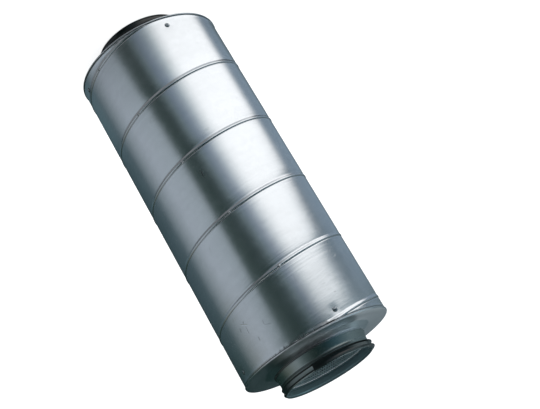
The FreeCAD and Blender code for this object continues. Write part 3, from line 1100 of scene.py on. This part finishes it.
studio = {
    "floorSize": 60,
    "floorColour": (0.80, 0.80, 0.80, 1),
    "floorGrain": 30,
    "floorShade": 0.02,
    "floorGlow": 0.84,          # lifts the lit floor to white where it is looked at
    "worldColour": (0.93, 0.96, 1.0, 1),
    "worldStrength": 0.42,
    "cardRadius": 8,
    "cardCentre": (0, 0, 0.35),
    # azimuth in degrees from +X, and the colour there of the low cards and of the high ones
    "cards": ((-180, (0.13, 0.18, 0.23)), (-122, (0.57, 0.68, 0.70)), (-98, (0.19, 0.24, 0.34)),
              (-90, (0.21, 0.28, 0.27)), (-84, (0.024, 0.038, 0.040)), (-62, (0.049, 0.077, 0.071)),
              (-56, (0.40, 0.46, 0.50)), (-18, (0.43, 0.48, 0.535)), (2, (0.27, 0.32, 0.35)),
              (20, (0.076, 0.115, 0.132)), (60, (0.047, 0.079, 0.091)), (86, (0.023, 0.035, 0.031)),
              (104, (0.105, 0.14, 0.15)), (122, (0.26, 0.34, 0.42)), (134, (0.23, 0.30, 0.37)),
              (148, (0.24, 0.31, 0.38)), (166, (0.13, 0.18, 0.22)), (180, (0.13, 0.18, 0.23))),
    "highCards": ((-180, (0.26, 0.33, 0.37)), (-140, (0.065, 0.135, 0.175)), (-110, (0.019, 0.045, 0.050)),
                  (-80, (0.019, 0.036, 0.032)), (-55, (0.12, 0.16, 0.165)), (-35, (0.41, 0.45, 0.49)),
                  (-5, (0.22, 0.24, 0.22)), (20, (0.036, 0.069, 0.062)), (60, (0.013, 0.032, 0.030)),
                  (88, (0.013, 0.031, 0.031)), (94, (0.108, 0.146, 0.163)), (115, (0.125, 0.17, 0.185)),
                  (180, (0.26, 0.33, 0.37))),
    # elevations and azimuths over which the high cards darken and lighten: none and full, how much
    "topShade": ((44, 58), (112, 98), 0.97),
    "arcLight": ((35, 43), (104, 116), 2.2),
    # a small lamp behind: its elevations, its azimuths and its light
    "rimLamp": (((17, 21), (34, 28)), ((89, 92), (106, 98)), 0.43),
    "rimLampColour": (0.92, 0.97, 1.0, 1),
    "level": -21.5,             # elevation at which the low cards' azimuths are given
    "leanUnder": 1.3,           # degrees that they lean round for each degree under it, and over it
    "leanOver": 1.44,
    "leanOverSide": (-70, -90), # only this way round do they lean over it
    "mostLean": 20,             # degrees over or under it that count
    "highFrom": (-14, -7.4),    # elevations between which the high cards take over
    "windowSides": (-201, -112),  # the bright window, degrees of azimuth
    "windowSoft": (10, 15),     # how softly its sides end, in degrees
    "leanFrom": (-21, -24.9),   # elevations from which its sides lean in, and how much a degree
    "lean": (4.1, 1.14),
    "windowNarrows": ((-22, -28), 3.6),     # elevations over which it narrows, and by what
    "windowTop": (-10, -12),
    "windowLight": 1.43,
    "windowDims": ((-26, -36), 0.18),       # elevations over which it dims, and how much
    # elevations and azimuths over which the low cards lighten, and how much
    "lowLight": ((-24.5, -28), ((16, 42), (84, 66)), 0.7),
    "lowFrom": (-27.5, -36.5),  # between these the cards dim, down to the floor's light
    "lowShade": 0.8,
    "floorFrom": (-36, -42),
    "floorLight": (0.93, 0.98, 1.02, 1),
    "floorShare": (0.24, 0.4),  # everywhere, and what is added under the window
    "floorSoft": (8, 10),       # how softly that ends on both sides
    "skyRise": ((41, 48), (57, 51)),        # a lamp over the camera
    "skySides": ((-175, -155), (-5, -25)),
    "skyColour": (0.94, 0.97, 1.0, 1),
    "skyLight": 1.7,
}


def rayIs(finish, *kinds):
    light = finish.add("ShaderNodeLightPath")
    seen = light.output(kinds[0])
    for kind in kinds[1:]:
        seen = seen.highest(light.output(kind))
    return seen


def floorFinish():
    finish = newFinish("pale floor")
    grain = finish.uneven(finish.place(), studio["floorGrain"])
    base = finish.tint(studio["floorColour"], 1 + grain * studio["floorShade"])
    plain = finish.add("ShaderNodeBsdfDiffuse", None, {"Color": base})
    glow = finish.add("ShaderNodeEmission", None, {"Color": (1, 1, 1, 1), "Strength": studio["floorGlow"]})
    both = finish.add("ShaderNodeAddShader", None, {0: plain, 1: glow})
    seen = rayIs(finish, "Is Camera Ray", "Is Glossy Ray", "Is Transmission Ray")
    return finish.close(finish.add("ShaderNodeMixShader", None, {0: seen, 1: plain, 2: both}))


def makeFloor():
    floor = addShape("floor", bpy.ops.mesh.primitive_plane_add, size=studio["floorSize"])
    floor.data.materials.append(floorFinish())
    floor.visible_glossy = False    # the sheet mirrors the cards, not the floor under them


def cardFinish():
    # the light that the sheet mirrors, by its azimuth and elevation
    finish = newFinish("studio cards")
    away, azimuth, height = fromAxis(finish, finish.place())
    rise = height / studio["cardRadius"]
    elevation = rise.maths("ARCSINE", rise) * inDegrees
    lowStops, highStops = [[((degrees + 180) / 360, colour) for degrees, colour in studio[cards]]
                           for cards in ("cards", "highCards")]
    # low cards
    over = elevation - studio["level"]
    lean = over.lowest(0.0).highest(-studio["mostLean"]) * studio["leanUnder"]
    leanOver = over.highest(0.0).lowest(studio["mostLean"]) * studio["leanOver"]
    lean = lean + leanOver * azimuth.step(*studio["leanOverSide"])
    lowTurn = ((azimuth + lean + 180) / 360).fraction()
    wall = finish.add("ShaderNodeValToRGB", {"stops": lowStops}, {0: lowTurn})
    wall = finish.tint(wall, 1 - elevation.step(*studio["lowFrom"]) * studio["lowShade"])
    lowRise, lowSides, lowMore = studio["lowLight"]
    wall = finish.tint(wall, 1 + elevation.step(*lowRise) * azimuth.over(*lowSides) * lowMore)
    # high cards
    high = finish.add("ShaderNodeValToRGB", {"stops": highStops}, {0: (azimuth + 180) / 360})
    shadeRise, shadeSide, shadeMost = studio["topShade"]
    high = finish.tint(high, 1 - elevation.step(*shadeRise) * azimuth.step(*shadeSide) * shadeMost)
    arcRise, arcSide, arcMore = studio["arcLight"]
    high = finish.tint(high, 1 + elevation.step(*arcRise) * azimuth.step(*arcSide) * arcMore)
    lampRise, lampSides, lampLight = studio["rimLamp"]
    lamp = elevation.over(*lampRise) * azimuth.over(*lampSides) * lampLight
    high = finish.plus(high, finish.tint(studio["rimLampColour"], lamp))
    wall = finish.blend(elevation.step(*studio["highFrom"]), wall, high)
    # window, on azimuths from -360 to 0 so that it can pass the back
    fromBack = azimuth - 360 * azimuth.maths("GREATER_THAN", azimuth, 0.0)
    fromStart, fromStop = [fromBack - side for side in studio["windowSides"]]
    softStart, softStop = studio["windowSoft"]
    leans = [(elevation - edge).highest(0.0) * rate
             for edge, rate in zip(studio["leanFrom"], studio["lean"])]
    narrowRise, narrowMost = studio["windowNarrows"]
    narrowed = elevation.step(*narrowRise) * narrowMost
    inside = (fromStart - leans[0]).step(-softStart, softStart)
    inside = inside * (fromStop + leans[1] + narrowed).step(softStop, -softStop)
    inside = inside * elevation.step(*studio["windowTop"])
    dimRise, dimMost = studio["windowDims"]
    light = studio["windowLight"] * (1 - elevation.step(*dimRise) * dimMost)
    window = finish.tint((1, 1, 1, 1), inside * light)
    wall = finish.plus(finish.tint(wall, 1 - inside), window)
    # floor's light from below, and the lamp overhead
    softStart, softStop = studio["floorSoft"]
    under = fromStart.step(-softStart, softStart) * fromStop.step(softStop, -softStop)
    everywhere, underWindow = studio["floorShare"]
    floor = finish.tint(studio["floorLight"], everywhere + under * underWindow)
    wall = finish.blend(elevation.step(*studio["floorFrom"]), wall, floor)
    above = azimuth.over(*studio["skySides"]) * elevation.over(*studio["skyRise"])
    sky = finish.tint(studio["skyColour"], above * studio["skyLight"])
    wall = finish.plus(finish.tint(wall, 1 - above), sky)
    glow = finish.add("ShaderNodeEmission", None, {"Color": wall, "Strength": 1.0})
    return finish.close(glow)


def makeCards():
    cards = addShape("studioCards", bpy.ops.mesh.primitive_uv_sphere_add, segments=96, ring_count=48,
                     radius=studio["cardRadius"])
    cards.location = studio["cardCentre"]
    cards.data.materials.append(cardFinish())
    cards.data.materials[0].cycles.emission_sampling = "NONE"
    cards.visible_camera = False
    cards.visible_diffuse = False
    cards.visible_shadow = False
    cards.visible_transmission = False


def makeWorld():
    scene.world = bpy.data.worlds.new("studio")
    finish = Finish(scene.world)
    seen = rayIs(finish, "Is Camera Ray", "Is Glossy Ray", "Is Transmission Ray")
    colour = finish.blend(seen, studio["worldColour"], (1, 1, 1, 1))
    strength = studio["worldStrength"] + seen * (1 - studio["worldStrength"])
    glow = finish.add("ShaderNodeBackground", None, {"Color": colour, "Strength": strength})
    finish.close(glow, "ShaderNodeOutputWorld")


lamps = {
    "overhead": {"place": (-0.5, -0.7, 3.2), "size": 2.4, "power": 30},
    "side": {"place": (-3.0, -1.6, 1.3), "size": 1.6, "power": 30},
}


def makeLamps():
    for name, look in lamps.items():
        light = bpy.data.lights.new(name, "AREA")
        light.shape = "SQUARE"
        light.size = look["size"]
        light.energy = look["power"]
        lamp = bpy.data.objects.new(name, light)
        lamp.location = look["place"]
        lamp.visible_glossy = False
        towards = Vector(studio["cardCentre"]) - lamp.location
        lamp.rotation_euler = towards.to_track_quat("-Z", "Y").to_euler()
        scene.collection.objects.link(lamp)


camera = {
    "place": Vector((0, -1.7937, 0.9979)),
    "target": Vector((-0.0546, 0, 0.389)),
    "roll": 149.48,             # degrees, the camera is nearly upside down
    "focalPixels": 1118.18,
    "imageWidth": 540,
    "sensor": 36,
}


def makeCamera():
    lens = bpy.data.cameras.new("camera")
    lens.sensor_width = camera["sensor"]
    lens.lens = camera["sensor"] * camera["focalPixels"] / camera["imageWidth"]
    body = bpy.data.objects.new("camera", lens)
    scene.collection.objects.link(body)
    forward = (camera["target"] - camera["place"]).normalized()
    right = forward.cross(Vector((0, 0, 1))).normalized()
    up = right.cross(forward)
    roll = math.radians(camera["roll"])
    across = right * math.cos(roll) + up * math.sin(roll)
    upwards = up * math.cos(roll) - right * math.sin(roll)
    turn = Matrix((across, upwards, -forward)).transposed().to_4x4()
    body.matrix_world = Matrix.Translation(camera["place"]) @ turn
    scene.camera = body


scene = bpy.context.scene
scene.view_settings.view_transform = "Standard"
makeFloor()
makeCards()
makeWorld()
makeLamps()
makeCamera()
print("studio set")

bpy.ops.object.select_all(action="DESELECT")
bpy.context.view_layer.update()
